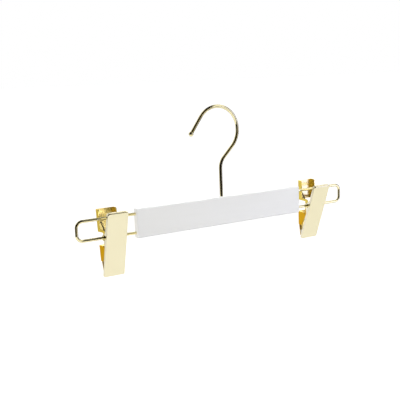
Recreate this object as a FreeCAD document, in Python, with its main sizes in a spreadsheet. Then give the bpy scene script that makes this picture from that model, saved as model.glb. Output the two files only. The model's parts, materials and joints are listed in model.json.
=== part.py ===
import FreeCAD, Part
import math
import os

import Sketcher

# Skirt hanger: a flat bar on a swivelling wire hook, with a wire loop out of each end
# and a sprung clip on each loop. The origin is on the hook's swivel axis, at the height
# where the hook's crown rests on a rod. X runs along the bar, the front faces -Y, Z is up.

SIZES = [
    ("bar_length", 204, "white bar, end to end"),
    ("bar_height", 30, "white bar, bottom edge to top edge"),
    ("bar_thickness", 7, "white bar, front face to rear face"),
    ("bar_edge_round", 1.5, "rounding of the long edges"),
    ("bar_end_round", 0.6, "rounding of the ends"),
    ("hook_wire", 3.5, "diameter of the hook's wire"),
    ("hook_height", 92.5, "from the bar's top edge up to the rod"),
    ("crown_radius", 25, "crown, at the wire's centre line"),
    ("crown_shift", 2.4, "crown's centre, to the left of the shank"),
    ("neck_lean", 45, "slope of the neck, degrees from upright"),
    ("neck_radius", 16, "bend between shank and neck"),
    ("nose_slope", 54, "slope of the nose, degrees below level"),
    ("nose_length", 20, "straight nose, up to the ball's centre"),
    ("ball_diameter", 5, "ball on the nose"),
    ("ball_socket", 0.6, "how far the wire runs past the ball's centre"),
    ("bush_wall", 0.7, "wall of the bush in the bar's top edge"),
    ("bush_length", 12, "length of that bush"),
    ("head_diameter", 5, "peened head on the shank's lower end"),
    ("head_height", 1.8, "height of that head"),
    ("head_recess", 6, "depth of the recess for head and washer"),
    ("washer_thickness", 0.6, "washer above the head"),
    ("loop_wire", 3, "diameter of the loops' wire"),
    ("loop_spacing", 19, "between the two runs of a loop, centre to centre"),
    ("loop_reach", 64, "how far a loop stands out of the bar's end"),
    ("loop_corner", 6, "corner of a loop, at the wire's centre line"),
    ("loop_socket", 25, "length of wire held inside the bar"),
    ("clip_offset", 24, "from the bar's end to the middle of a clip"),
    ("clip_hang", 3.4, "degrees that the left clip's tip hangs forward and the right one's back"),
    ("sheet_metal", 0.8, "thickness of the clips' plates"),
    ("plate_width", 22, "front plate, side to side"),
    ("plate_lean", 17.6, "slant of the front plate, degrees from upright"),
    ("plate_standoff", 6.4, "from the pivot to the front plate's face"),
    ("plate_rise", 27.2, "front plate above the pivot, along its slant"),
    ("plate_drop", 39.7, "front plate below the pivot, along its slant"),
    ("plate_flange", 3.4, "depth of the front plate's rim"),
    ("ear_radius", 3.2, "round ears at the pivot"),
    ("ear_foot", 8.5, "half the width of a front ear where it leaves the rim"),
    ("lever_rise", 26.8, "rear lever above the pivot"),
    ("lever_setback", 16.4, "rear lever behind the pivot, at its top"),
    ("lever_foot", 15.6, "rear lever behind the pivot, at the window"),
    ("lever_flange", 6.6, "depth of the rear lever's side walls"),
    ("lever_neck", 7, "top of the rear ears' necks above the pivot"),
    ("window_rise", 4.5, "window above the pivot"),
    ("window_fall", 8.8, "window below the pivot"),
    ("window_front", 3.4, "from the pivot back to the window"),
    ("window_notch", 2.2, "cut across the upper front corners of the jaw's side walls"),
    ("jaw_setback", 14.8, "rear jaw behind the pivot, below the window"),
    ("jaw_knee", 24.5, "rear jaw's bend below the pivot, where its side walls end"),
    ("jaw_knee_setback", 13.8, "rear jaw behind the pivot, at that bend"),
    ("jaw_front", 8.4, "from the pivot back to the jaw's side walls, at that bend"),
    ("tongue_inset", 1.2, "jaw's tongue in from the outsides of the side walls"),
    ("bend_round", 1, "outer rounding of the plates' folds"),
    ("corner_round", 2, "rounding of the plates' free corners"),
    ("tube_wall", 0.4, "wall of the pivot tube"),
    ("tube_head", 2.8, "radius of the tube's turned-over ends"),
    ("tube_lip", 0.5, "thickness of those ends"),
    ("spring_wire", 1.2, "diameter of the spring's wire"),
    ("spring_pitch", 2.2, "from turn to turn"),
    ("spring_turns", 5, "whole turns of the spring"),
    ("spring_leg", 20, "length of a straight leg"),
    ("pad_thickness", 2.4, "soft pads at the jaws"),
    ("pad_length", 7, "pads along the jaw"),
    ("pad_margin", 1.9, "pads in from the front plate's rim"),
    ("pad_groove", 0.5, "depth and width of a pad's grooves"),
    ("jaw_gap", 0.3, "between the pads of a closed clip"),
    ("run_clear", 0.05, "clearance of a turning or sliding fit, on the radius"),
    ("seat_clear", 0.02, "clearance of a pressed or glued fit, on the radius"),
    ("side_clear", 0.3, "clearance between pieces that pass each other"),
]

doc = FreeCAD.newDocument("skirt_hanger")
sheet = doc.addObject("Spreadsheet::Sheet", "sizes")
for row, (alias, size, note) in enumerate(SIZES, start=1):
    sheet.set("A%d" % row, note)
    sheet.set("B%d" % row, str(size))
    sheet.setAlias("B%d" % row, alias)
doc.recompute()

BAR_MIDDLE = "-sizes.hook_height - sizes.bar_height / 2"
PIVOT_HEIGHT = BAR_MIDDLE + " - sizes.loop_spacing / 2"
HOOK_RADIUS = "sizes.hook_wire / 2"
LOOP_RADIUS = "sizes.loop_wire / 2"
TUBE_RADIUS = LOOP_RADIUS + " + sizes.run_clear + sizes.tube_wall"
EAR_HOLE = TUBE_RADIUS + " + sizes.run_clear"
REAR_WIDTH = "sizes.plate_width - 2 * sizes.sheet_metal - 2 * sizes.side_clear"
TONGUE_WIDTH = REAR_WIDTH + " - 2 * sizes.tongue_inset"
PAD_WIDTH = "sizes.plate_width - 2 * sizes.sheet_metal - 2 * sizes.pad_margin"
PAD_GROOVES = 3
HEAD_RADIUS = "sizes.head_diameter / 2"
BUSH_RADIUS = HOOK_RADIUS + " + sizes.run_clear + sizes.bush_wall"
SHANK_FOOT = "-sizes.hook_height - sizes.bar_height + sizes.head_recess" \
             " - sizes.washer_thickness - sizes.run_clear - sizes.head_height"
CROWN_DROP = "-sqrt((sizes.crown_radius - %s) ^ 2 - sizes.crown_shift ^ 2)" % HOOK_RADIUS
NOSE_RUN = "sizes.nose_length + sizes.ball_socket"
PLATE_INNER = "-sizes.plate_standoff + sizes.sheet_metal"
FRONT_TURN = "sizes.plate_lean + %d * sizes.clip_hang"


def slanted(y, z):
    """A place in the front plate's own slanted frame, given in the upright frame."""
    return ("(%s) * cos(sizes.plate_lean) - (%s) * sin(sizes.plate_lean)" % (y, z),
            "(%s) * sin(sizes.plate_lean) + (%s) * cos(sizes.plate_lean)" % (y, z))


# The rear jaw ends where the closed pads leave it, level with the front plate's tip.
JAW_TIP_Y, JAW_TIP_Z = slanted(PLATE_INNER + " + 2 * sizes.pad_thickness + sizes.jaw_gap",
                               "-sizes.plate_drop + sizes.sheet_metal")
parts = []


def number(text):
    """The value of an expression on the sheet."""
    return float(sheet.evalExpression(text))


def place(part, x, z, axis=FreeCAD.Vector(1, 0, 0), turn=None):
    """Put a sub-part at x, z, turned about an axis; the sizes are expressions."""
    rotation = FreeCAD.Rotation(axis, number(turn) if turn else 0)
    part.Placement = FreeCAD.Placement(FreeCAD.Vector(number(x), 0, number(z)), rotation)
    part.setExpression("Placement.Base.x", x)
    part.setExpression("Placement.Base.z", z)
    if turn:
        part.setExpression("Placement.Rotation.Angle", turn)
    parts.append(part)


def new_body(label, x="0", z="0", axis=FreeCAD.Vector(1, 0, 0), turn=None):
    """An empty body in its place."""
    body = doc.addObject("PartDesign::Body", label)
    body.Label = label
    place(body, x, z, axis, turn)
    return body


def new_sketch(body, name, plane, offset="0"):
    """A sketch on one of the body's own planes, moved along that plane's normal."""
    sketch = body.newObject("Sketcher::SketchObject", name)
    support = [item for item in body.Origin.OriginFeatures if item.Role == plane]
    sketch.AttachmentSupport = [(support[0], "")]
    sketch.MapMode = "FlatFace"
    sketch.setExpression("AttachmentOffset.Base.z", offset)
    return sketch


def bind(sketch, constraint, text):
    """Add a constraint and tie its size to an expression."""
    index = sketch.addConstraint(constraint)
    sketch.setExpression("Constraints[%d]" % index, text)


def pin(sketch, edge, end, x, y):
    """Hold one point of an edge at x, y from the sketch's origin."""
    bind(sketch, Sketcher.Constraint("DistanceX", -1, 1, edge, end, number(x)), x)
    bind(sketch, Sketcher.Constraint("DistanceY", -1, 1, edge, end, number(y)), y)


def join(sketch, meetings):
    """Make edges meet end to end and run smoothly into each other."""
    for one, one_end, other, other_end in meetings:
        sketch.addConstraint(Sketcher.Constraint("Tangent", one, one_end, other, other_end))


def outline(sketch, corners):
    """A closed outline of straight sides, each corner a pair of expressions."""
    places = [FreeCAD.Vector(number(x), number(y), 0) for x, y in corners]
    lines = []
    for here, there in zip(places, places[1:] + places[:1]):
        lines.append(sketch.addGeometry(Part.LineSegment(here, there)))
    for line, following in zip(lines, lines[1:] + lines[:1]):
        sketch.addConstraint(Sketcher.Constraint("Coincident", line, 2, following, 1))
    for line, (x, y) in zip(lines, corners):
        pin(sketch, line, 1, x, y)


def circle(sketch, x, y, radius):
    """A circle at x, y, all given by expressions."""
    middle = FreeCAD.Vector(number(x), number(y), 0)
    edge = sketch.addGeometry(Part.Circle(middle, FreeCAD.Vector(0, 0, 1), number(radius)))
    pin(sketch, edge, 3, x, y)
    bind(sketch, Sketcher.Constraint("Radius", edge, number(radius)), radius)


def pad(body, name, sketch, length, symmetric=False, reverse=False):
    """Material from a sketch, to one side of it or both."""
    feature = body.newObject("PartDesign::Pad", name)
    feature.Profile = sketch
    feature.setExpression("Length", length)
    feature.SideType = "Symmetric" if symmetric else "One side"
    feature.Reversed = reverse
    doc.recompute()
    return feature


def pocket(body, name, sketch, length, symmetric=False, reverse=False):
    """A cut from a sketch, which has to take material away."""
    before = body.Shape.Volume
    feature = body.newObject("PartDesign::Pocket", name)
    feature.Profile = sketch
    feature.setExpression("Length", length)
    feature.SideType = "Symmetric" if symmetric else "One side"
    feature.Reversed = reverse
    doc.recompute()
    if not body.Shape.Volume < before:
        raise ValueError("%s cuts nothing from %s" % (name, body.Label))
    return feature


def revolve(body, name, sketch, axis):
    """A full turn of a sketch about one of its own axes."""
    feature = body.newObject("PartDesign::Revolution", name)
    feature.Profile = sketch
    feature.ReferenceAxis = (sketch, [axis])
    feature.Angle = 360
    doc.recompute()
    return feature


def sweep(body, name, profile, path):
    """A wire of one section along a path of tangent lines and arcs."""
    feature = body.newObject("PartDesign::AdditivePipe", name)
    feature.Profile = profile
    feature.Spine = (path, ["Edge%d" % (index + 1) for index in range(path.GeometryCount)])
    doc.recompute()
    return feature


def fillet(body, name, radius, chosen):
    """Round the edges of the body that chosen picks by their middle and direction."""
    base = body.Tip
    names = []
    for index, edge in enumerate(base.Shape.Edges, start=1):
        start, end = edge.valueAt(edge.FirstParameter), edge.valueAt(edge.LastParameter)
        if chosen((start + end) * 0.5, end - start):
            names.append("Edge%d" % index)
    feature = body.newObject("PartDesign::Fillet", name)
    feature.Base = (base, names)
    feature.setExpression("Radius", radius)
    doc.recompute()
    return feature


def along(direction, axis):
    """True for an edge that runs along one axis: 0 is X, 1 is Y, 2 is Z."""
    return near(abs(direction[axis]), direction.Length)


def near(one, other):
    """True for two lengths that are the same but for rounding."""
    rounding = 1e-4
    return abs(one - other) < rounding


# Hook: the wire stands in the bar on its peened head, leans right at the neck,
# goes round the crown and runs down to the left along a straight nose.

def make_hook():
    body = new_body("hook")
    path = new_sketch(body, "hook_path", "XZ_Plane")

    crown_radius = number("sizes.crown_radius")
    neck_radius = number("sizes.neck_radius")
    lean = math.radians(number("sizes.neck_lean"))
    slope = math.radians(number("sizes.nose_slope"))
    crown = FreeCAD.Vector(-number("sizes.crown_shift"), number(CROWN_DROP), 0)
    crown_start = crown + FreeCAD.Vector(math.cos(lean), -math.sin(lean), 0) * crown_radius
    crown_end = crown + FreeCAD.Vector(-math.sin(slope), math.cos(slope), 0) * crown_radius
    nose = FreeCAD.Vector(-math.cos(slope), -math.sin(slope), 0)
    nose_end = crown_end + nose * number(NOSE_RUN)
    knee_height = crown_start.y - crown_start.x / math.tan(lean)
    tangent = neck_radius * math.tan(lean / 2)
    shank_foot = FreeCAD.Vector(0, number(SHANK_FOOT), 0)
    shank_top = FreeCAD.Vector(0, knee_height - tangent, 0)
    neck_middle = shank_top + FreeCAD.Vector(neck_radius, 0, 0)
    neck_start = FreeCAD.Vector(tangent * math.sin(lean), knee_height + tangent * math.cos(lean), 0)

    normal = FreeCAD.Vector(0, 0, 1)
    bend_circle = Part.Circle(neck_middle, normal, neck_radius)
    crown_circle = Part.Circle(crown, normal, crown_radius)
    shank = path.addGeometry(Part.LineSegment(shank_foot, shank_top))
    bend = path.addGeometry(Part.ArcOfCircle(bend_circle, math.pi - lean, math.pi))
    neck = path.addGeometry(Part.LineSegment(neck_start, crown_start))
    arc = path.addGeometry(Part.ArcOfCircle(crown_circle, -lean, math.pi / 2 + slope))
    tail = path.addGeometry(Part.LineSegment(crown_end, nose_end))
    join(path, [(shank, 2, bend, 2), (bend, 1, neck, 1), (neck, 2, arc, 1), (arc, 2, tail, 1)])
    pin(path, shank, 1, "0", SHANK_FOOT)
    path.addConstraint(Sketcher.Constraint("Vertical", shank))
    bind(path, Sketcher.Constraint("Radius", bend, neck_radius), "sizes.neck_radius")
    bind(path, Sketcher.Constraint("Angle", -1, 1, neck, 1, math.pi / 2 - lean), "90 - sizes.neck_lean")
    bind(path, Sketcher.Constraint("Radius", arc, crown_radius), "sizes.crown_radius")
    pin(path, arc, 3, "-sizes.crown_shift", CROWN_DROP)
    bind(path, Sketcher.Constraint("Angle", -1, 1, tail, 2, slope), "sizes.nose_slope")
    bind(path, Sketcher.Constraint("Distance", tail, number(NOSE_RUN)), NOSE_RUN)

    section = new_sketch(body, "hook_section", "XY_Plane", SHANK_FOOT)
    circle(section, "0", "0", HOOK_RADIUS)
    sweep(body, "hook_bend", section, path)
    head = new_sketch(body, "head_outline", "XY_Plane", SHANK_FOOT)
    circle(head, "0", "0", HEAD_RADIUS)
    pad(body, "peened_head", head, "sizes.head_height")


# Ball on the nose, with a socket for the end of the wire.

def make_hook_tip():
    x = "-sizes.crown_shift - sizes.crown_radius * sin(sizes.nose_slope)" \
        " - sizes.nose_length * cos(sizes.nose_slope)"
    z = CROWN_DROP + " + sizes.crown_radius * cos(sizes.nose_slope)" \
        " - sizes.nose_length * sin(sizes.nose_slope)"
    body = new_body("hook_tip", x, z, FreeCAD.Vector(0, 1, 0), "90 - sizes.nose_slope")
    radius = number("sizes.ball_diameter / 2")
    half = new_sketch(body, "ball_outline", "XZ_Plane")
    ball = Part.Circle(FreeCAD.Vector(), FreeCAD.Vector(0, 0, 1), radius)
    arc = half.addGeometry(Part.ArcOfCircle(ball, -math.pi / 2, math.pi / 2))
    core = half.addGeometry(Part.LineSegment(FreeCAD.Vector(0, radius, 0), FreeCAD.Vector(0, -radius, 0)))
    half.addConstraint(Sketcher.Constraint("Coincident", arc, 2, core, 1))
    half.addConstraint(Sketcher.Constraint("Coincident", core, 2, arc, 1))
    half.addConstraint(Sketcher.Constraint("Vertical", core))
    half.addConstraint(Sketcher.Constraint("Coincident", arc, 3, -1, 1))
    half.addConstraint(Sketcher.Constraint("PointOnObject", core, 1, -2))
    bind(half, Sketcher.Constraint("Radius", arc, radius), "sizes.ball_diameter / 2")
    revolve(body, "ball", half, "V_Axis")
    socket = new_sketch(body, "socket_outline", "XY_Plane", "-sizes.ball_socket")
    circle(socket, "0", "0", HOOK_RADIUS + " + sizes.seat_clear")
    pocket(body, "socket", socket, "sizes.ball_diameter", reverse=True)


# Bush and washer: the shank turns in the bush, and the bar hangs on the washer.

def make_ring(label, top, inner, outer, height):
    body = new_body(label)
    ring = new_sketch(body, label + "_outline", "XY_Plane", top)
    circle(ring, "0", "0", outer)
    circle(ring, "0", "0", inner)
    pad(body, label + "_ring", ring, height, reverse=True)


# Bar: a flat bar with rounded edges, two wire sockets in each end, a seat for the bush
# in the top edge and a recess for the washer and the peened head in the bottom edge.

def make_bar():
    half_length = "sizes.bar_length / 2"
    half_height = "sizes.bar_height / 2"
    body = new_body("bar", z=BAR_MIDDLE)
    face = new_sketch(body, "bar_face", "XZ_Plane")
    left, low = "-" + half_length, "-" + half_height
    outline(face, [(left, low), (half_length, low), (half_length, half_height), (left, half_height)])
    pad(body, "bar_blank", face, "sizes.bar_thickness", symmetric=True)
    end = number(half_length)
    fillet(body, "bar_edges", "sizes.bar_edge_round", lambda middle, run: along(run, 0))
    fillet(body, "bar_ends", "sizes.bar_end_round",
           lambda middle, run: near(abs(middle.x), end) and near(run.x, 0))
    for side, name in ((-1, "left"), (1, "right")):
        wires = new_sketch(body, name + "_sockets", "YZ_Plane", "%d * %s" % (side, half_length))
        for run in (-1, 1):
            circle(wires, "0", "%d * sizes.loop_spacing / 2" % run, LOOP_RADIUS + " + sizes.seat_clear")
        pocket(body, name + "_socket_holes", wires, "sizes.loop_socket", reverse=side < 0)
    for name, level, radius, depth, upward in (
            ("bush_seat", half_height, BUSH_RADIUS + " + sizes.seat_clear", "sizes.bush_length", False),
            ("shank_hole", half_height, HOOK_RADIUS + " + sizes.side_clear", "sizes.bar_height", False),
            ("head_pocket", low, HEAD_RADIUS + " + sizes.side_clear", "sizes.head_recess", True)):
        hole = new_sketch(body, name + "_outline", "XY_Plane", level)
        circle(hole, "0", "0", radius)
        pocket(body, name, hole, depth, reverse=upward)


# Loops: each is one wire, bent to a U with round corners, its two ends held in the bar.

def make_loop(label, side):
    body = new_body(label, z=BAR_MIDDLE)
    inner = "%d * (sizes.bar_length / 2 - sizes.loop_socket)" % side
    outer = "%d * (sizes.bar_length / 2 + sizes.loop_reach - %s)" % (side, LOOP_RADIUS)
    half = number("sizes.loop_spacing / 2")
    corner = number("sizes.loop_corner")
    start, end = number(inner), number(outer)
    bend = end - side * corner
    normal = FreeCAD.Vector(0, 0, 1)
    path = new_sketch(body, label + "_path", "XZ_Plane")
    upper = path.addGeometry(Part.LineSegment(
        FreeCAD.Vector(start, half, 0), FreeCAD.Vector(bend, half, 0)))
    turns = []
    for level, first in ((half - corner, 0 if side > 0 else 1), (corner - half, 3 if side > 0 else 2)):
        round_corner = Part.Circle(FreeCAD.Vector(bend, level, 0), normal, corner)
        quarter = math.pi / 2
        turns.append(Part.ArcOfCircle(round_corner, first * quarter, (first + 1) * quarter))
    upper_turn = path.addGeometry(turns[0])
    tie = path.addGeometry(Part.LineSegment(
        FreeCAD.Vector(end, half - corner, 0), FreeCAD.Vector(end, corner - half, 0)))
    lower_turn = path.addGeometry(turns[1])
    lower = path.addGeometry(Part.LineSegment(
        FreeCAD.Vector(bend, -half, 0), FreeCAD.Vector(start, -half, 0)))
    ahead, behind = (2, 1) if side > 0 else (1, 2)
    join(path, [(upper, 2, upper_turn, ahead), (upper_turn, behind, tie, 1),
                (tie, 2, lower_turn, ahead), (lower_turn, behind, lower, 1)])
    path.addConstraint(Sketcher.Constraint("Horizontal", upper))
    path.addConstraint(Sketcher.Constraint("Vertical", tie))
    path.addConstraint(Sketcher.Constraint("Horizontal", lower))
    pin(path, upper, 1, inner, "sizes.loop_spacing / 2")
    pin(path, lower, 2, inner, "-sizes.loop_spacing / 2")
    bind(path, Sketcher.Constraint("DistanceX", -1, 1, tie, 1, end), outer)
    for turn in (upper_turn, lower_turn):
        bind(path, Sketcher.Constraint("Radius", turn, corner), "sizes.loop_corner")
    section = new_sketch(body, label + "_section", "YZ_Plane", inner)
    circle(section, "0", "sizes.loop_spacing / 2", LOOP_RADIUS)
    sweep(body, label + "_bend", section, path)


# Clip: every piece is drawn from the pivot, which is the lower run of the loop.

def clip_place(side):
    return "%d * (sizes.bar_length / 2 + sizes.clip_offset)" % side


def hang_axis(side):
    """Axis for the tilt of a clip: both hang from their pivots, but tilt opposite ways."""
    return FreeCAD.Vector(side, 0, 0)


# Pivot tube: slides and turns on the loop's wire, its ends turned over outside the ears.

def make_pivot_tube(label, side):
    body = new_body(label, clip_place(side), PIVOT_HEIGHT)
    bore = LOOP_RADIUS + " + sizes.run_clear"
    grip = "(sizes.plate_width / 2 + 2 * sizes.run_clear)"
    end = "(sizes.plate_width / 2 + 2 * sizes.run_clear + sizes.tube_lip)"
    wall = new_sketch(body, label + "_outline", "XZ_Plane")
    outline(wall, [("-" + end, bore), (end, bore), (end, "sizes.tube_head"), (grip, "sizes.tube_head"),
                   (grip, TUBE_RADIUS), ("-" + grip, TUBE_RADIUS), ("-" + grip, "sizes.tube_head"),
                   ("-" + end, "sizes.tube_head")])
    revolve(body, label + "_turning", wall, "H_Axis")


# Front plate: a slanting tray with a rim on three sides and a round ear on each side.

def make_front_plate(label, side):
    body = new_body(label, clip_place(side), PIVOT_HEIGHT, turn=FRONT_TURN % side)
    face, inner = "-sizes.plate_standoff", PLATE_INNER
    rim = "-sizes.plate_standoff + sizes.plate_flange"
    ear, foot = "sizes.ear_radius", "sizes.ear_foot"
    tip, top = "-sizes.plate_drop", "sizes.plate_rise"
    blank = new_sketch(body, label + "_profile", "YZ_Plane")
    outline(blank, [(face, tip), (face, top), (rim, top), (rim, foot), ("0", ear),
                    ("0", "-" + ear), (rim, "-" + foot), (rim, tip)])
    pad(body, label + "_blank", blank, "sizes.plate_width", symmetric=True)
    half, front, height = number("sizes.plate_width / 2"), number(face), number(top)
    fillet(body, label + "_corners", "sizes.corner_round",
           lambda middle, run: near(abs(middle.x), half) and near(middle.z, height) and along(run, 1))
    add_ears(body, label, "sizes.plate_width")
    hollow = new_sketch(body, label + "_hollow", "YZ_Plane")
    past_tip = tip + " - sizes.sheet_metal"
    past_ear = ear + " + sizes.sheet_metal"
    under_rim = top + " - sizes.sheet_metal"
    outline(hollow, [(inner, past_tip), (past_ear, past_tip), (past_ear, under_rim), (inner, under_rim)])
    pocket(body, label + "_tray", hollow, "sizes.plate_width - 2 * sizes.sheet_metal", symmetric=True)
    drill_ears(body, label, "sizes.plate_width")
    inside, under = half - number("sizes.sheet_metal"), number(under_rim)
    fillet(body, label + "_inner_corners", "sizes.corner_round - sizes.sheet_metal",
           lambda middle, run: near(abs(middle.x), inside) and near(middle.z, under) and along(run, 1))
    fillet(body, label + "_folds", "sizes.bend_round",
           lambda middle, run: near(middle.y, front)
           and (near(abs(middle.x), half) and along(run, 2) or near(middle.z, height) and along(run, 0)))


# Rear plate: an upright channel, open in a window behind the pivot. Its lever stands up
# behind the loop, and below the jaw's side walls a tongue bends forward to the front plate.

def make_rear_plate(label, side):
    body = new_body(label, clip_place(side), PIVOT_HEIGHT, hang_axis(side), "sizes.clip_hang")
    metal = " + sizes.sheet_metal"
    ear, neck, knee = "sizes.ear_radius", "sizes.lever_neck", "-sizes.jaw_knee"
    web = [("sizes.lever_setback", "sizes.lever_rise"), ("sizes.lever_foot", "sizes.window_rise"),
           ("sizes.jaw_setback", "-sizes.window_fall"), ("sizes.jaw_knee_setback", knee)]
    outside = [(y + metal, z) for y, z in web]
    lever_edge = metal + " - sizes.lever_flange"
    blank = new_sketch(body, label + "_profile", "YZ_Plane")
    outline(blank, outside + [("sizes.jaw_front", knee), ("-" + ear, "0"), ("0", neck),
                              ("sizes.lever_foot" + lever_edge, neck),
                              ("sizes.lever_setback" + lever_edge, "sizes.lever_rise")])
    pad(body, label + "_blank", blank, REAR_WIDTH, symmetric=True)
    add_ears(body, label, REAR_WIDTH)
    over_top = "sizes.lever_rise" + metal
    past_knee = knee + " - sizes.sheet_metal"
    past_ear = "-sizes.ear_radius - sizes.sheet_metal"
    hollow = new_sketch(body, label + "_hollow", "YZ_Plane")
    outline(hollow, [("sizes.lever_setback", over_top)] + web[1:] +
            [("sizes.jaw_knee_setback", past_knee), (past_ear, past_knee), (past_ear, over_top)])
    pocket(body, label + "_channel", hollow, REAR_WIDTH + " - 2 * sizes.sheet_metal", symmetric=True)
    window = new_sketch(body, label + "_window", "YZ_Plane")
    behind = "sizes.lever_setback + 2 * sizes.sheet_metal"
    outline(window, [("sizes.window_front", "-sizes.window_fall - sizes.window_notch"),
                     ("sizes.window_front + sizes.window_notch", "-sizes.window_fall"),
                     (behind, "-sizes.window_fall"), (behind, "sizes.window_rise"),
                     ("sizes.window_front", "sizes.window_rise")])
    pocket(body, label + "_opening", window, REAR_WIDTH, symmetric=True)
    tongue = new_sketch(body, label + "_tongue_profile", "YZ_Plane")
    outline(tongue, [outside[-1], (JAW_TIP_Y + metal, JAW_TIP_Z), (JAW_TIP_Y, JAW_TIP_Z), web[-1]])
    pad(body, label + "_tongue", tongue, TONGUE_WIDTH, symmetric=True)
    drill_ears(body, label, REAR_WIDTH)
    half, bend, rear = number(REAR_WIDTH) / 2, number(knee), number("sizes.jaw_knee_setback")
    upright = 0.9
    fillet(body, label + "_folds", "sizes.bend_round",
           lambda middle, run: near(abs(middle.x), half) and abs(run.z) > upright * run.Length
           and middle.y > rear and middle.z > bend)
    free = [("sizes.lever_setback" + lever_edge, "sizes.lever_rise"), ("0", neck), ("sizes.jaw_front", knee)]
    corners = [FreeCAD.Vector(0, number(y), number(z)) for y, z in free]
    fillet(body, label + "_corners", "sizes.corner_round",
           lambda middle, run: along(run, 0)
           and any(near(middle.y, corner.y) and near(middle.z, corner.z) for corner in corners))


def add_ears(body, label, width):
    ears = new_sketch(body, label + "_ear_outline", "YZ_Plane")
    circle(ears, "0", "0", "sizes.ear_radius")
    pad(body, label + "_ears", ears, width, symmetric=True)


def drill_ears(body, label, width):
    hole = new_sketch(body, label + "_ear_hole", "YZ_Plane")
    circle(hole, "0", "0", EAR_HOLE)
    pocket(body, label + "_pivot_hole", hole, width, symmetric=True)


# Pads: soft strips at the tips of both jaws. The front one is grooved across, and the
# rear one is a wedge that lies flat against it.

def make_front_pad(label, side):
    body = new_body(label, clip_place(side), PIVOT_HEIGHT, turn=FRONT_TURN % side)
    strip = new_sketch(body, label + "_profile", "YZ_Plane")
    surface = PLATE_INNER + " + sizes.pad_thickness"
    floor = surface + " - sizes.pad_groove"
    tip = "-sizes.plate_drop + sizes.sheet_metal"
    top = tip + " + sizes.pad_length"
    corners = [(PLATE_INNER, top), (PLATE_INNER, tip), (surface, tip)]
    for groove in range(1, PAD_GROOVES + 1):
        middle = "%s + sizes.pad_length * %d / %d" % (tip, groove, PAD_GROOVES + 1)
        low, high = middle + " - sizes.pad_groove / 2", middle + " + sizes.pad_groove / 2"
        corners += [(surface, low), (floor, low), (floor, high), (surface, high)]
    outline(strip, corners + [(surface, top)])
    pad(body, label + "_strip", strip, PAD_WIDTH, symmetric=True)


def make_rear_pad(label, side):
    body = new_body(label, clip_place(side), PIVOT_HEIGHT, hang_axis(side), "sizes.clip_hang")
    wedge = new_sketch(body, label + "_profile", "YZ_Plane")
    surface = PLATE_INNER + " + sizes.pad_thickness + sizes.jaw_gap"
    tip = "-sizes.plate_drop + sizes.sheet_metal"
    top_y, top_z = slanted(surface, tip + " + sizes.pad_length")
    tip_y, tip_z = slanted(surface, tip)
    share = "((%s) - (%s)) / (-sizes.jaw_knee - (%s))" % (top_z, JAW_TIP_Z, JAW_TIP_Z)
    back_y = "%s + (sizes.jaw_knee_setback - (%s)) * %s" % (JAW_TIP_Y, JAW_TIP_Y, share)
    outline(wedge, [(tip_y, tip_z), (JAW_TIP_Y, JAW_TIP_Z), (back_y, top_z), (top_y, top_z)])
    pad(body, label + "_wedge", wedge, PAD_WIDTH, symmetric=True)


# Spring: one wire, from a leg on the rear lever through the coil round the pivot tube
# to a leg on the front plate. The coil is built of arcs that meet tangentially, and both
# legs run square to the pivot.

def biarc(start, heading, end, arrival):
    """Two tangent arcs from start to end with the given directions."""
    chord = end - start
    both = heading + arrival
    bend = 2 * (1 - heading.dot(arrival))
    along_both = chord.dot(both)
    reach = (math.sqrt(along_both ** 2 + bend * chord.dot(chord)) - along_both) / bend
    first, second = start + heading * reach, end - arrival * reach
    meeting = (first + second) * 0.5
    arcs = []
    for here, knee, there in ((start, first, meeting), (meeting, second, end)):
        weight = (there - here).Length / 2 / (knee - here).Length
        arcs.append(Part.Arc(here, (here + knee * (2 * weight) + there) / (2 + 2 * weight), there).toShape())
    return arcs


def leg_slant(radius, leg, target):
    """Slant of a leg, tangent to the coil, whose end lies at target from the pivot."""
    return math.asin(target / math.hypot(radius, leg)) - math.atan2(radius, leg)


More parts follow.
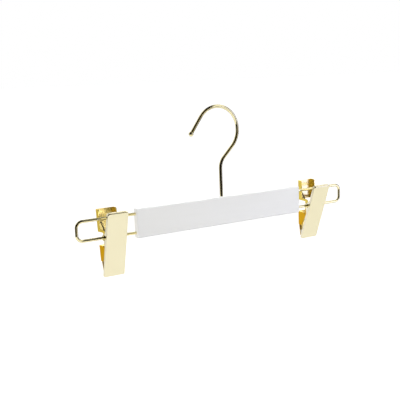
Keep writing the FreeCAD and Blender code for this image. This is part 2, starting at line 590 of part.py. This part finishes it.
def make_spring(label, side):
    wire = number("sizes.spring_wire")
    leg = number("sizes.spring_leg")
    radius = number(TUBE_RADIUS + " + sizes.side_clear") + wire / 2
    rest = wire / 2 + number("sizes.side_clear")
    foot = number("sizes.lever_foot") - rest
    height = math.sqrt(radius ** 2 + leg ** 2 - foot ** 2)
    lean = number("(sizes.lever_setback - sizes.lever_foot) / (sizes.lever_rise - sizes.window_rise)")
    rear = leg_slant(radius, leg, foot + lean * (height - number("sizes.window_rise")))
    front = leg_slant(radius, leg, -number(PLATE_INNER) - rest) + math.radians(number("sizes.plate_lean"))
    turned = 2 * math.pi * number("sizes.spring_turns") + math.pi - rear - front
    rise = number("sizes.spring_pitch") / (2 * math.pi)

    def place_on_coil(angle):
        around = -rear - angle
        spread = rise * (angle - turned / 2)
        return FreeCAD.Vector(spread, radius * math.cos(around), radius * math.sin(around))

    def heading_on_coil(angle):
        around = -rear - angle
        climb = rise if 0 < angle < turned else 0
        heading = FreeCAD.Vector(climb, radius * math.sin(around), -radius * math.cos(around))
        return heading.normalize()

    steps = math.ceil(turned / (math.pi / 2))
    angles = [turned * step / steps for step in range(steps + 1)]
    coil_start, coil_end = place_on_coil(0), place_on_coil(turned)
    rear_tip = coil_start - heading_on_coil(0) * leg
    front_tip = coil_end + heading_on_coil(turned) * leg
    edges = [Part.LineSegment(rear_tip, coil_start).toShape()]
    for here, there in zip(angles, angles[1:]):
        edges += biarc(place_on_coil(here), heading_on_coil(here),
                       place_on_coil(there), heading_on_coil(there))
    edges.append(Part.LineSegment(coil_end, front_tip).toShape())
    path = Part.Wire(edges)
    section = Part.Wire(Part.Circle(rear_tip, heading_on_coil(0), wire / 2).toShape())
    pipe = Part.BRepOffsetAPI.MakePipeShell(path)
    pipe.add(section)
    pipe.build()
    pipe.makeSolid()
    spring = doc.addObject("Part::Feature", label)
    spring.Label = label
    spring.Shape = pipe.shape()
    place(spring, clip_place(side), PIVOT_HEIGHT, hang_axis(side), "sizes.clip_hang")
    print("%s: least gap to itself %.2f mm" % (label, least_gap(path, wire)))


def least_gap(path, wire):
    """Least clear distance between stretches of a wire that are not neighbours along it."""
    spacing = wire / 4
    points = path.discretize(Distance=spacing)
    apart = math.ceil(math.pi * wire / spacing)
    pairs = ((one, other) for one in range(len(points)) for other in range(one + apart, len(points)))
    return min(points[one].distanceToPoint(points[other]) for one, other in pairs) - wire


make_hook()
make_hook_tip()
make_ring("hook_bush", "-sizes.hook_height",
          HOOK_RADIUS + " + sizes.run_clear", BUSH_RADIUS, "sizes.bush_length")
make_ring("hook_washer", "-sizes.hook_height - sizes.bar_height + sizes.head_recess",
          HOOK_RADIUS + " + sizes.side_clear", HEAD_RADIUS + " + sizes.side_clear - sizes.seat_clear",
          "sizes.washer_thickness")
make_bar()
for hand, direction in (("left", -1), ("right", 1)):
    make_loop(hand + "_loop", direction)
    make_pivot_tube(hand + "_pivot_tube", direction)
    make_rear_plate(hand + "_rear_plate", direction)
    make_rear_pad(hand + "_rear_pad", direction)
    make_spring(hand + "_spring", direction)
    make_front_plate(hand + "_front_plate", direction)
    make_front_pad(hand + "_front_pad", direction)
doc.recompute()

for item in doc.Objects:
    if "Invalid" in item.State or "Error" in item.State:
        raise ValueError("%s failed" % item.Label)
for part in parts:
    if part.Shape.isNull() or not part.Shape.isValid():
        raise ValueError("%s has no valid shape" % part.Label)
os.makedirs("parts", exist_ok=True)
for part in parts:
    part.Shape.exportStep("parts/%s.step" % part.Label)
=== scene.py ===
import json
import math

import bmesh
import bpy
from mathutils import Matrix, Vector


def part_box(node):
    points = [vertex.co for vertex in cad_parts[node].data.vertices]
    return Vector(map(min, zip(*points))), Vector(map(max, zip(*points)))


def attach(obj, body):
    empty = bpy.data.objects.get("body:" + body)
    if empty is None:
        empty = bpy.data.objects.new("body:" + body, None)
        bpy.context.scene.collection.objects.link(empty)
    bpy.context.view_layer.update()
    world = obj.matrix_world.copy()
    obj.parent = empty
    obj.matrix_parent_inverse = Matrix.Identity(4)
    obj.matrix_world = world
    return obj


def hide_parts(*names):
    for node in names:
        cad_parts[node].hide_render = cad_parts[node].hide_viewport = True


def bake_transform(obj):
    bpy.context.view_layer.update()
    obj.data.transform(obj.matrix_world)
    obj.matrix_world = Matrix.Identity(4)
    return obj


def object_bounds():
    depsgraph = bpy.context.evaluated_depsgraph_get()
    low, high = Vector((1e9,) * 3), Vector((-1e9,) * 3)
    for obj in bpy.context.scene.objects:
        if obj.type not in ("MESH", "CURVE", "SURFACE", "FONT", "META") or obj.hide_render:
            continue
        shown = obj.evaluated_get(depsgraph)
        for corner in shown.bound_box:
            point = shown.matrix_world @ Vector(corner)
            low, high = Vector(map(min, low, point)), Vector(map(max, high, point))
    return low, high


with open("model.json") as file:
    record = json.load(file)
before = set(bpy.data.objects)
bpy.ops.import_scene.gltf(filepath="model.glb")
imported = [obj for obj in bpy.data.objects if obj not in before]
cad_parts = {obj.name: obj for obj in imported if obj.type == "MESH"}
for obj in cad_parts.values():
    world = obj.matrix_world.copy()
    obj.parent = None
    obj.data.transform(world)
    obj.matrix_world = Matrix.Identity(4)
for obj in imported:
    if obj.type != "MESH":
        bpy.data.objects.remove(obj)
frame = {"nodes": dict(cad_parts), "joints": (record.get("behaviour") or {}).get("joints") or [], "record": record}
cad_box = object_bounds()


# Bar: a flat wooden bar with rounded edges, sprayed with white satin lacquer.
# The grain shows through only as a faint unevenness of the film.

LACQUER_WHITES = (0.84, 0.84, 0.835), (0.88, 0.88, 0.88)
ALONG_THE_BAR = (14, 260, 260)
LACQUER_UNEVENNESS = 0.00005


class Value:
    """A value over a surface, held by a node's socket: arithmetic on it adds Math nodes."""

    def __init__(self, tree, socket=None):
        self.tree = tree
        self.socket = socket

    def node(self, kind, settings, sockets, output=0):
        """Add a node, with its settings and then the values or links of its sockets."""
        made = self.tree.nodes.new(kind)
        for name, setting in settings.items():
            setattr(made, name, setting)
        for name, value in sockets.items():
            if isinstance(value, Value):
                self.tree.links.new(value.socket, made.inputs[name])
            else:
                made.inputs[name].default_value = value
        return Value(self.tree, made.outputs[output])

    def math(self, operation, one, other):
        """Add a Math node for two values or numbers."""
        return self.node("ShaderNodeMath", {"operation": operation}, {0: one, 1: other})

    def __add__(self, other):
        return self.math("ADD", self, other)

    def __mul__(self, other):
        return self.math("MULTIPLY", self, other)

    __radd__ = __add__
    __rmul__ = __mul__


def new_finish(name):
    """A material with its shader, and a value to start node expressions from."""
    material = bpy.data.materials.new(name)
    material.use_nodes = True
    shader = material.node_tree.nodes["Principled BSDF"]
    return material, shader, Value(material.node_tree)


def feed(shader, name, value):
    """Lead a value to one of the shader's sockets."""
    value.tree.links.new(value.socket, shader.inputs[name])


def noise(start, scale, detail, stretch=(1, 1, 1)):
    """Cloudy noise in the object's own metres, finer along the axes that stretch names."""
    place = start.node("ShaderNodeTexCoord", {}, {}, "Object")
    place = start.node("ShaderNodeMapping", {}, {"Vector": place, "Scale": stretch})
    return start.node("ShaderNodeTexNoise", {}, {"Vector": place, "Scale": scale, "Detail": detail})


# A Mix node has sockets of the same names for each kind of value: these are its places for colours.
MIX_FACTOR = 0
MIX_ONE = 6
MIX_OTHER = 7
MIX_RESULT = 2


def between(start, factor, one, other):
    """A colour between two, by a factor; each is red, green and blue, or a value."""
    one, other = (end if isinstance(end, Value) else (*end, 1) for end in (one, other))
    sockets = {MIX_FACTOR: factor, MIX_ONE: one, MIX_OTHER: other}
    return start.node("ShaderNodeMix", {"data_type": "RGBA"}, sockets, MIX_RESULT)


def bumps(start, strength, depth, height):
    """The normal of a surface with bumps, whose height of 0 to 1 spans a depth in metres."""
    return start.node("ShaderNodeBump", {}, {"Strength": strength, "Distance": depth, "Height": height})


def paint(material, *nodes):
    """Give CAD nodes a material."""
    for node in nodes:
        slots = frame["nodes"][node].data.materials
        slots.clear()
        slots.append(material)


lacquer, shader, start = new_finish("white_lacquer")
grain = noise(start, scale=1, detail=6, stretch=ALONG_THE_BAR)
clouds = noise(start, scale=35, detail=3)
peel = noise(start, scale=900, detail=2)
film = 0.7 * grain + 0.3 * clouds
feed(shader, "Base Color", between(start, film, *LACQUER_WHITES))
feed(shader, "Roughness", 0.30 + 0.16 * clouds)
uneven = 0.6 * peel + 0.4 * grain
feed(shader, "Normal", bumps(start, strength=0.25, depth=LACQUER_UNEVENNESS, height=uneven))
shader.inputs["Coat Weight"].default_value = 0.3
shader.inputs["Coat Roughness"].default_value = 0.2
paint(lacquer, "bar")


# Hook: one steel wire, bent cold and plated a pale gold, with a ball pressed on its nose.
# The plating is polished, with the faint haze that handling leaves.

WIRE_GOLDS = (0.92, 0.84, 0.52), (0.88, 0.79, 0.46)
WIRE_PAINTED_DARK_EDGES = (0.15, 0.12, 0.08, 1)
WIRE_ROUGHNESS = 0.08
RUBBED_UPRIGHT = (900, 900, 60)
PLATING_UNEVENNESS = 0.00002


def gold_plating(name, roughness):
    """Polished plating with its haze, whose colour is fed by the caller."""
    material, shader, start = new_finish(name)
    haze = noise(start, scale=70, detail=4)
    specks = noise(start, scale=2400, detail=2)
    rubbed = noise(start, scale=1, detail=4, stretch=RUBBED_UPRIGHT)
    feed(shader, "Roughness", roughness * (0.7 + 0.4 * haze + 0.2 * rubbed))
    uneven = 0.5 * specks + 0.5 * rubbed
    feed(shader, "Normal", bumps(start, strength=0.12, depth=PLATING_UNEVENNESS, height=uneven))
    shader.inputs["Metallic"].default_value = 1
    return material, shader, start, haze


wire_gold, shader, start, haze = gold_plating("gold_wire", WIRE_ROUGHNESS)
feed(shader, "Base Color", between(start, haze, *WIRE_GOLDS))
# The edge tint is much darker than real gold's: painted shade, as dark outlines along the wires.
shader.inputs["Specular Tint"].default_value = WIRE_PAINTED_DARK_EDGES
paint(wire_gold, "hook", "hook_tip")


# Bush and washer: turned brass rings that hold the hook's shank in the bar. The bush goes in
# before the bar is sprayed, so its rim, round the shank, is white too.

TURNED_BRASSES = (0.80, 0.66, 0.36), (0.72, 0.57, 0.29)
ROUND_THE_SHANK = (300, 300, 4000)

turned, shader, start = new_finish("turned_brass")
rings = noise(start, scale=1, detail=3, stretch=ROUND_THE_SHANK)
feed(shader, "Base Color", between(start, rings, *TURNED_BRASSES))
feed(shader, "Roughness", 0.25 + 0.2 * rings)
shader.inputs["Metallic"].default_value = 1
paint(turned, "hook_washer")
paint(lacquer, "hook_bush")


# Loops: a wire bent to a U and pressed into each end of the bar, plated like the hook.
# A clip slides on the lower run, on a tube of its own.

paint(wire_gold, "left_loop", "right_loop", "left_pivot_tube", "right_pivot_tube")


# Clips: pressed from sheet steel and plated pale gold. The front plate is a shallow tray,
# and the rear plate a deeper channel. Its side walls are painted a deeper gold, most so at the jaw:
# this is painted reflection and shade of the gold channel on itself.

CLIP_TILT = {"left": math.radians(-3.4), "right": math.radians(3.4)}
FRONT_GOLDS = (0.84, 0.78, 0.55), (0.82, 0.75, 0.51)
FRONT_ROUGHNESS = 0.2
WEB_GOLDS = (0.93, 0.81, 0.48), (0.89, 0.75, 0.40)
LEVER_WALL_PAINTED_REFLECTION = (0.75, 0.57, 0.11), (0.70, 0.52, 0.08)
JAW_WALL_PAINTED_REFLECTION = (0.67, 0.38, 0.02), (0.61, 0.33, 0.01)
REAR_EDGES = (0.9, 0.75, 0.45, 1)
REAR_ROUGHNESS = 0.22
PAINTED_DEEPENING_ABOVE = 0.004
PAINTED_DEEPENING_BELOW = 0.010


def pivot_of(hand):
    """Where the plates of the left or right clip turn on their tube."""
    hinge = next(joint for joint in frame["joints"] if joint["name"] == hand + "_clip_open")
    return Vector(hinge["pos_m"])


front_gold, shader, start, haze = gold_plating("gold_front", FRONT_ROUGHNESS)
feed(shader, "Base Color", between(start, haze, *FRONT_GOLDS))

pivot_height = pivot_of("left").z
rear_gold, shader, start, haze = gold_plating("gold_rear", REAR_ROUGHNESS)
place = start.node("ShaderNodeTexCoord", {}, {}, "Object")
height = start.node("ShaderNodeSeparateXYZ", {}, {"Vector": place}, "Z")
# The side walls' deeper gold is painted reflection and shade: it goes on faces that turn sideways and deepens
# below the pivot, at the jaw.
painted_jaw_depth = start.node("ShaderNodeMapRange", {}, {"Value": height, "From Min": pivot_height + PAINTED_DEEPENING_ABOVE,
                                                "From Max": pivot_height - PAINTED_DEEPENING_BELOW})
facing = start.node("ShaderNodeTexCoord", {}, {}, "Normal")
sideways = start.node("ShaderNodeSeparateXYZ", {}, {"Vector": facing}, "X")
web = between(start, haze, *WEB_GOLDS)
lever_wall_painted_reflection = between(start, haze, *LEVER_WALL_PAINTED_REFLECTION)
jaw_wall_painted_reflection = between(start, haze, *JAW_WALL_PAINTED_REFLECTION)
painted_wall_reflection = between(start, painted_jaw_depth, lever_wall_painted_reflection, jaw_wall_painted_reflection)
feed(shader, "Base Color", between(start, sideways * sideways, web, painted_wall_reflection))
shader.inputs["Specular Tint"].default_value = REAR_EDGES

for hand in CLIP_TILT:
    paint(front_gold, hand + "_front_plate")
    paint(rear_gold, hand + "_rear_plate")


# Springs: hard-drawn steel wire, coiled round the pivot tube, with a leg against each
# plate. The coil winds up as the clip opens, so it turns from one plate to the other.

SPRING_WIRE = 0.0012
SPRING_RADIUS = 0.00285
SPRING_LEG = 0.020
REAR_SLANT = math.radians(39.9)
FRONT_SLANT = math.radians(22.9)
SPRING_TURNS = 5
SPRING_PITCH = 0.0022
STEPS_PER_TURN = 32
SPRING_GREYS = (0.27, 0.25, 0.21), (0.18, 0.165, 0.14)
DRAWN_STREAKS = (2500, 400, 400)

steel, shader, start = new_finish("spring_steel")
drawn = noise(start, scale=1, detail=3, stretch=DRAWN_STREAKS)
feed(shader, "Base Color", between(start, drawn, *SPRING_GREYS))
feed(shader, "Roughness", 0.22 + 0.2 * drawn)
shader.inputs["Metallic"].default_value = 1


def tube_mesh(name, points, radius):
    """A round wire through points, with flat ends."""
    curve = bpy.data.curves.new(name, "CURVE")
    curve.dimensions = "3D"
    curve.bevel_depth = radius
    curve.bevel_resolution = 4
    curve.use_fill_caps = True
    spline = curve.splines.new("POLY")
    spline.points.add(len(points) - 1)
    for place, point in zip(spline.points, points):
        place.co = (*point, 1)
    shell = bpy.data.objects.new(name, curve)
    mesh = bpy.data.meshes.new_from_object(shell)
    bpy.data.objects.remove(shell)
    for face in mesh.polygons:
        face.use_smooth = True
    return mesh


def spring_points():
    """Rear leg, coil and front leg round an upright clip's pivot, from the rear plate's side on."""
    turned_by = 2 * math.pi * SPRING_TURNS + math.pi - REAR_SLANT - FRONT_SLANT
    rise = SPRING_PITCH / (2 * math.pi)

    def on_coil(angle):
        around = -REAR_SLANT - angle
        across = rise * (angle - turned_by / 2)
        return Vector((across, SPRING_RADIUS * math.cos(around), SPRING_RADIUS * math.sin(around)))

    def heading(angle):
        around = -REAR_SLANT - angle
        return Vector((0, math.sin(around), -math.cos(around)))

    steps = STEPS_PER_TURN * SPRING_TURNS
    coil = [on_coil(turned_by * step / steps) for step in range(steps + 1)]
    rear_tip = coil[0] - heading(0) * SPRING_LEG
    front_tip = coil[-1] + heading(turned_by) * SPRING_LEG
    return [rear_tip, *coil, front_tip]


for hand, tilt in CLIP_TILT.items():
    pivot = pivot_of(hand)
    hang = Matrix.Translation(pivot) @ Matrix.Rotation(tilt, 4, "X")
    mesh = tube_mesh(hand + "_coil", [hang @ point for point in spring_points()], SPRING_WIRE / 2)
    mesh.materials.append(steel)
    coil = bpy.data.objects.new(hand + "_coil", mesh)
    bpy.context.collection.objects.link(coil)
    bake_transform(coil)
    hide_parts(hand + "_spring")


# Pads: soft milky strips glued inside the tips of both jaws, ribbed across so that
# cloth can't slip. The front one lies in the tray, and the rear one is a wedge.

PAD_WIDTH = 0.0166
PAD_LENGTH = 0.007
PAD_THICKNESS = 0.0024
PAD_RIBS = 4
PAD_COLUMNS = 13
ROWS_PER_RIB = 8
RIB_DEPTH = 0.0004
SIDE_SHARPNESS = 12
JAW_GAP = 0.0003
MILKY_GREYS = (0.66, 0.64, 0.58), (0.55, 0.53, 0.48)
SKIN_UNEVENNESS = 0.00003

rubber, shader, start = new_finish("pad_rubber")
mottle = noise(start, scale=300, detail=3)
skin = noise(start, scale=3000, detail=2)
feed(shader, "Base Color", between(start, mottle, *MILKY_GREYS))
feed(shader, "Roughness", 0.5 + 0.2 * mottle)
feed(shader, "Normal", bumps(start, strength=0.3, depth=SKIN_UNEVENNESS, height=skin))


def pad_mesh(name, face_ends, back_ends, out):
    """A strip between a ribbed face and its back, each given by its top and its tip."""
    columns, rows = PAD_COLUMNS, ROWS_PER_RIB * PAD_RIBS + 1
    mesh = bmesh.new()
    face, back = [], []
    for row in range(rows):
        share = row / (rows - 1)
        rib = RIB_DEPTH * math.sin(math.pi * PAD_RIBS * share) ** 2
        for column in range(columns):
            side = column / (columns - 1) * 2 - 1
            worn = RIB_DEPTH * side ** SIDE_SHARPNESS
            across = Vector((side * PAD_WIDTH / 2, 0, 0))
            sunk = out * (RIB_DEPTH - rib + worn)
            face.append(mesh.verts.new(face_ends[0].lerp(face_ends[1], share) + across - sunk))
            back.append(mesh.verts.new(back_ends[0].lerp(back_ends[1], share) + across))
    for row in range(rows - 1):
        for column in range(columns - 1):
            corner = row * columns + column
            ring = (corner, corner + 1, corner + columns + 1, corner + columns)
            mesh.faces.new([face[index] for index in ring])
            mesh.faces.new([back[index] for index in reversed(ring)])
    rim = list(range(columns))
    rim += [row * columns + columns - 1 for row in range(1, rows)]
    rim += [(rows - 1) * columns + column for column in range(columns - 2, -1, -1)]
    rim += [row * columns for row in range(rows - 2, 0, -1)]
    for here, there in zip(rim, rim[1:] + rim[:1]):
        mesh.faces.new((face[here], back[here], back[there], face[there]))
    bmesh.ops.recalc_face_normals(mesh, faces=mesh.faces)
    result = bpy.data.meshes.new(name)
    mesh.to_mesh(result)
    mesh.free()
    return result


def add_pad(name, node, body, mesh):
    """Put a strip in its jaw, in place of the plain CAD pad."""
    mesh.materials.append(rubber)
    pad = bpy.data.objects.new(name, mesh)
    bpy.context.collection.objects.link(pad)
    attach(pad, body)
    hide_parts(node)


for hand, tilt in CLIP_TILT.items():
    jaw = next(mount for mount in frame["record"]["mounts"] if mount["name"] == hand + "_jaw")
    along = Vector(jaw["axis"])
    to_rear = Vector((1, 0, 0)).cross(along).normalized()
    ends = [Vector(jaw["pos_m"]) + along * PAD_LENGTH * share for share in (-0.5, 0.5)]
    front_face = [end - to_rear * JAW_GAP / 2 for end in ends]
    front_back = [end - to_rear * PAD_THICKNESS for end in front_face]
    rear_face = [end + to_rear * JAW_GAP / 2 for end in ends]
    level = Vector((0, math.cos(tilt), math.sin(tilt)))
    wedge_top = rear_face[0] + level * (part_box(hand + "_rear_pad")[1].y - rear_face[0].y) / level.y
    rear_back = [wedge_top, rear_face[1] + to_rear * PAD_THICKNESS]
    add_pad(hand + "_front_strip", hand + "_front_pad", hand + "_front",
            pad_mesh(hand + "_front_strip", front_face, front_back, to_rear))
    add_pad(hand + "_rear_strip", hand + "_rear_pad", hand + "_rear",
            pad_mesh(hand + "_rear_strip", rear_face, rear_back, -to_rear))


# Studio: a pale paper floor well below the hanger, two soft lamps, and the camera, which
# stands in front of the hanger and to its left, just above the height of its hook.

CAMERA_PLACE = (-0.4249, -0.6440, 0.0336)
CAMERA_AZIMUTH = math.radians(-31.73)
CAMERA_PITCH = math.radians(9.51)
CAMERA_ROLL = math.radians(-2.16)
CAMERA_LENS = 66.85
CAMERA_SENSOR = 36
SKY_LIGHT = 0.57
FLOOR_DROP = 0.35
FLOOR_REACH = 60
PAPER_WHITES = (0.86, 0.86, 0.86), (0.84, 0.84, 0.84)
GLOW_TO_CAMERA = 0.6
GLOW_TO_MIRRORS = 0.22

scene = bpy.context.scene
camera = bpy.data.objects.new("camera", bpy.data.cameras.new("camera"))
camera.data.lens = CAMERA_LENS
camera.data.sensor_width = CAMERA_SENSOR
camera.matrix_world = (Matrix.Translation(CAMERA_PLACE)
                       @ Matrix.Rotation(CAMERA_AZIMUTH, 4, "Z")
                       @ Matrix.Rotation(math.pi / 2 - CAMERA_PITCH, 4, "X")
                       @ Matrix.Rotation(CAMERA_ROLL, 4, "Z"))
bpy.context.collection.objects.link(camera)
scene.camera = camera
scene.view_settings.view_transform = "Standard"


def ray_is(start, kind):
    """1 for rays of one kind, such as those from the camera, and 0 for all others."""
    return start.node("ShaderNodeLightPath", {}, {}, "Is %s Ray" % kind)


def seen_directly(start):
    """1 for rays from the camera, off gloss or through glass, and 0 for all others."""
    seen = start.math("MAXIMUM", ray_is(start, "Camera"), ray_is(start, "Glossy"))
    return start.math("MAXIMUM", seen, ray_is(start, "Transmission"))


scene.world = bpy.data.worlds.new("studio")
scene.world.use_nodes = True
start = Value(scene.world.node_tree)
sky = scene.world.node_tree.nodes["Background"]
sky.inputs["Color"].default_value = (1, 1, 1, 1)
strength = SKY_LIGHT + (1 - SKY_LIGHT) * seen_directly(start)
start.tree.links.new(strength.socket, sky.inputs["Strength"])

floor_level = cad_box[0].z - FLOOR_DROP
floor_corners = [(x * FLOOR_REACH, y * FLOOR_REACH, floor_level)
                 for x, y in ((-1, -1), (1, -1), (1, 1), (-1, 1))]
floor_mesh = bpy.data.meshes.new("floor")
floor_mesh.from_pydata(floor_corners, [], [(0, 1, 2, 3)])
floor = bpy.data.objects.new("floor", floor_mesh)
bpy.context.collection.objects.link(floor)
paper, shader, start = new_finish("studio_paper")
fibres = noise(start, scale=60, detail=4)
feed(shader, "Base Color", between(start, fibres, *PAPER_WHITES))
shader.inputs["Roughness"].default_value = 0.9
shader.inputs["Specular IOR Level"].default_value = 0.1
shader.inputs["Emission Strength"].default_value = 1
glow = GLOW_TO_CAMERA * ray_is(start, "Camera") + GLOW_TO_MIRRORS * ray_is(start, "Glossy")
feed(shader, "Emission Color", start.node("ShaderNodeCombineColor", {}, {0: glow, 1: glow, 2: glow}))
floor_mesh.materials.append(paper)


def lamp(name, place, target, size, power, shadow):
    """A round soft lamp that doesn't show in gloss."""
    light = bpy.data.lights.new(name, "AREA")
    light.use_shadow = shadow
    light.shape = "DISK"
    light.size = size
    light.energy = power
    holder = bpy.data.objects.new(name, light)
    holder.location = place
    holder.rotation_euler = (Vector(target) - Vector(place)).to_track_quat("-Z", "Y").to_euler()
    bpy.context.collection.objects.link(holder)
    holder.visible_glossy = False


middle = (cad_box[0] + cad_box[1]) / 2
lamp("key", place=(0.55, -0.65, 0.7), target=middle, size=0.5, power=6.8, shadow=True)
lamp("side", place=(-1.5, 0.25, 0.6), target=middle, size=0.6, power=12, shadow=False)


# Screens: glowing panels round the hanger in the studio, from near black to brighter than white.
# They show only in gloss, as painted reflections: the dark lines along the wires and the deep gold
# inside the clips. The two small ones that stand close are meant for the hook.

WALL_DISTANCE = 1.2
INNER_DISTANCE = 1.1
PANEL_DISTANCE = 0.3
CEILING_HEIGHT = 2.6
WALL_STEPS = 24
DARK_SCREEN_GLOW = (0.010, 0.008, 0.006), (0.020, 0.016, 0.012)
GOLD_SCREEN_GLOW = (1.00, 0.85, 0.35), (0.88, 0.74, 0.29)
BLUISH_SCREEN_GLOW = (1.55, 1.60, 2.40), (1.45, 1.50, 2.25)
BRIGHT_SCREEN_GLOW = (3.30, 3.30, 3.20), (3.10, 3.10, 3.00)
PALE_SCREEN_GLOW = (0.70, 0.66, 0.50), (0.64, 0.60, 0.44)
WHITE_SCREEN_GLOW = (1.18, 1.18, 1.40), (1.10, 1.10, 1.30)

floor_middle = Vector((middle.x, middle.y, floor_level))


def wall_mesh(name, distance, left, right, bottom=0, top=CEILING_HEIGHT):
    """An upright wall, bent round the hanger: its ends in degrees to the right of straight
    ahead, and its edges in metres above the floor."""
    corners, faces = [], []
    for step in range(WALL_STEPS + 1):
        turn = math.radians(left + (right - left) * step / WALL_STEPS)
        outward = Vector((math.sin(turn), -math.cos(turn), 0))
        for height in (bottom, top):
            corners.append(floor_middle + outward * distance + Vector((0, 0, height)))
    for step in range(WALL_STEPS):
        faces.append((2 * step, 2 * step + 2, 2 * step + 3, 2 * step + 1))
    mesh = bpy.data.meshes.new(name)
    mesh.from_pydata(corners, [], faces)
    return mesh


def ceiling_mesh(name, radius, height):
    """A round ceiling over the hanger."""
    disc = bmesh.new()
    place = Matrix.Translation(floor_middle + Vector((0, 0, height)))
    bmesh.ops.create_circle(disc, cap_ends=True, segments=48, radius=radius, matrix=place)
    mesh = bpy.data.meshes.new(name)
    disc.to_mesh(mesh)
    disc.free()
    return mesh


def add_screen(mesh, shades):
    """Give a screen a glow of two shades, a painted reflection, and show it in gloss alone."""
    screen_glow, shader, start = new_finish(mesh.name)
    shader.inputs["Base Color"].default_value = (0, 0, 0, 1)
    shader.inputs["Specular IOR Level"].default_value = 0
    shader.inputs["Emission Strength"].default_value = 1
    feed(shader, "Emission Color", between(start, noise(start, scale=3, detail=2), *shades))
    mesh.materials.append(screen_glow)
    screen = bpy.data.objects.new(mesh.name, mesh)
    bpy.context.collection.objects.link(screen)
    screen.visible_camera = False
    screen.visible_diffuse = False
    screen.visible_shadow = False


add_screen(wall_mesh("dark_wall", WALL_DISTANCE, left=-122, right=30), DARK_SCREEN_GLOW)
add_screen(wall_mesh("dark_right", WALL_DISTANCE, left=64, right=115, top=1.35), DARK_SCREEN_GLOW)
add_screen(wall_mesh("dark_back", WALL_DISTANCE, left=144, right=180, bottom=1.3), DARK_SCREEN_GLOW)
add_screen(wall_mesh("dark_near", PANEL_DISTANCE, left=18, right=50, bottom=0.36, top=0.46), DARK_SCREEN_GLOW)
add_screen(wall_mesh("dark_front", PANEL_DISTANCE, left=-50, right=-33, bottom=0.34, top=0.46), DARK_SCREEN_GLOW)
add_screen(ceiling_mesh("dark_ceiling", WALL_DISTANCE, CEILING_HEIGHT), DARK_SCREEN_GLOW)
# A gold glowing panel: a painted gold reflection inside the clips.
add_screen(wall_mesh("gold_wall", INNER_DISTANCE, left=20, right=30, top=0.65), GOLD_SCREEN_GLOW)
add_screen(wall_mesh("white_wall", WALL_DISTANCE, left=34, right=60, top=0.7), BLUISH_SCREEN_GLOW)
add_screen(wall_mesh("white_back", WALL_DISTANCE, left=125, right=172, bottom=0.6, top=1.28), BRIGHT_SCREEN_GLOW)
add_screen(wall_mesh("pale_front", INNER_DISTANCE, left=-46, right=-35, top=0.45), PALE_SCREEN_GLOW)
add_screen(wall_mesh("white_left", WALL_DISTANCE, left=-146, right=-132, top=0.45), WHITE_SCREEN_GLOW)
